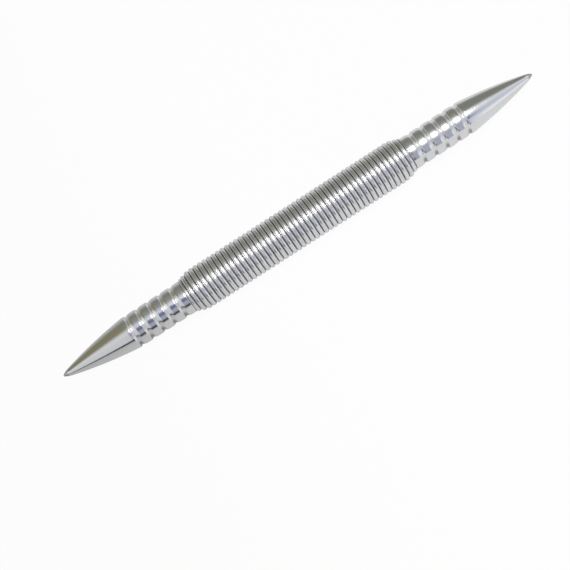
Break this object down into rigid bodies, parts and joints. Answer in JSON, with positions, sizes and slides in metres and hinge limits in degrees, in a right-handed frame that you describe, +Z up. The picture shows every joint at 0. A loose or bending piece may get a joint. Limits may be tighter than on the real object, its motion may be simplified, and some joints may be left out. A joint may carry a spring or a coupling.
{
  "type": "automatic center punch",
  "caption": "Spring-driven center punch, pointed at both ends: ringed steel rods meet face to face inside a close-wound tension spring that snaps one rod against the other.",
  "frame": {"origin": "on the surface the tool lies on, under the middle of its length", "axes": "+X along the tool toward the point of the rod that is pulled, +Z up"},
  "size_m": [0.13, 0.0104, 0.0105],
  "materials": {
    "polished_steel": "bright turned and polished steel",
    "spring_wire": "bright drawn spring wire"
  },
  "bodies": {
    "left_rod": {"left_punch": "polished_steel", "tension_spring": "spring_wire"},
    "right_rod": {"right_punch": "polished_steel"}
  },
  "joints": [
    {"name": "pull", "type": "slide", "parent": "left_rod", "child": "right_rod", "axis": [1, 0, 0], "range_m": [0, 0.025], "stiffness_N_per_m": 615, "springref_m": -0.0163, "deforming": ["tension_spring"]}
  ]
}
